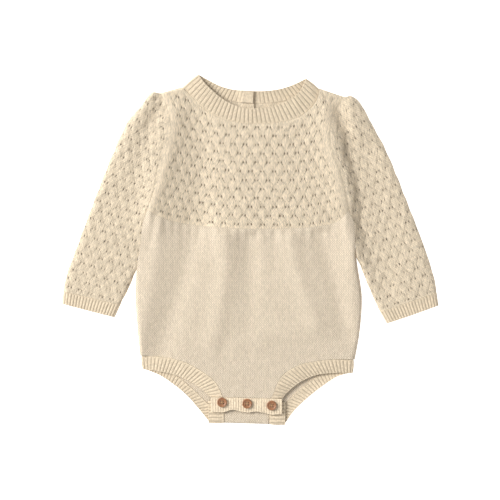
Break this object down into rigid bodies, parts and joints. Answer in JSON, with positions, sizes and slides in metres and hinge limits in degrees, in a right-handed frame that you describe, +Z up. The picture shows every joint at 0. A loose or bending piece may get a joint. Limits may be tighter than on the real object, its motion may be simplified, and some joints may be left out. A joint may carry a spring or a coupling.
{
  "type": "baby bubble bodysuit",
  "caption": "Knitted baby bodysuit laid flat, face up: bubble-stitch yoke and long sleeves, gathered plain-knit bubble body, ribbed neck, cuffs and leg bands, buttoned crotch.",
  "frame": {"origin": "centre of the garment's box, on the surface that it lies on", "axes": "+X to the viewer's right across the sleeves, +Y towards the neck, +Z up out of the front"},
  "size_m": [0.4128, 0.3858, 0.0095],
  "materials": {
    "knit": "soft matt cotton knit",
    "rib": "soft matt cotton rib",
    "wood": "turned wood with a thin satin varnish"
  },
  "bodies": {
    "root": {"front_yoke": "knit", "back_yoke_left": "knit", "back_yoke_right": "knit", "front_body": "knit", "back_body": "knit", "sleeve_left": "knit", "sleeve_right": "knit", "cuff_left": "rib", "cuff_right": "rib", "neckband": "rib", "leg_band_left": "rib", "leg_band_right": "rib", "front_placket": "rib", "button_left": "wood", "button_middle": "wood", "button_right": "wood"}
  },
  "joints": []
}
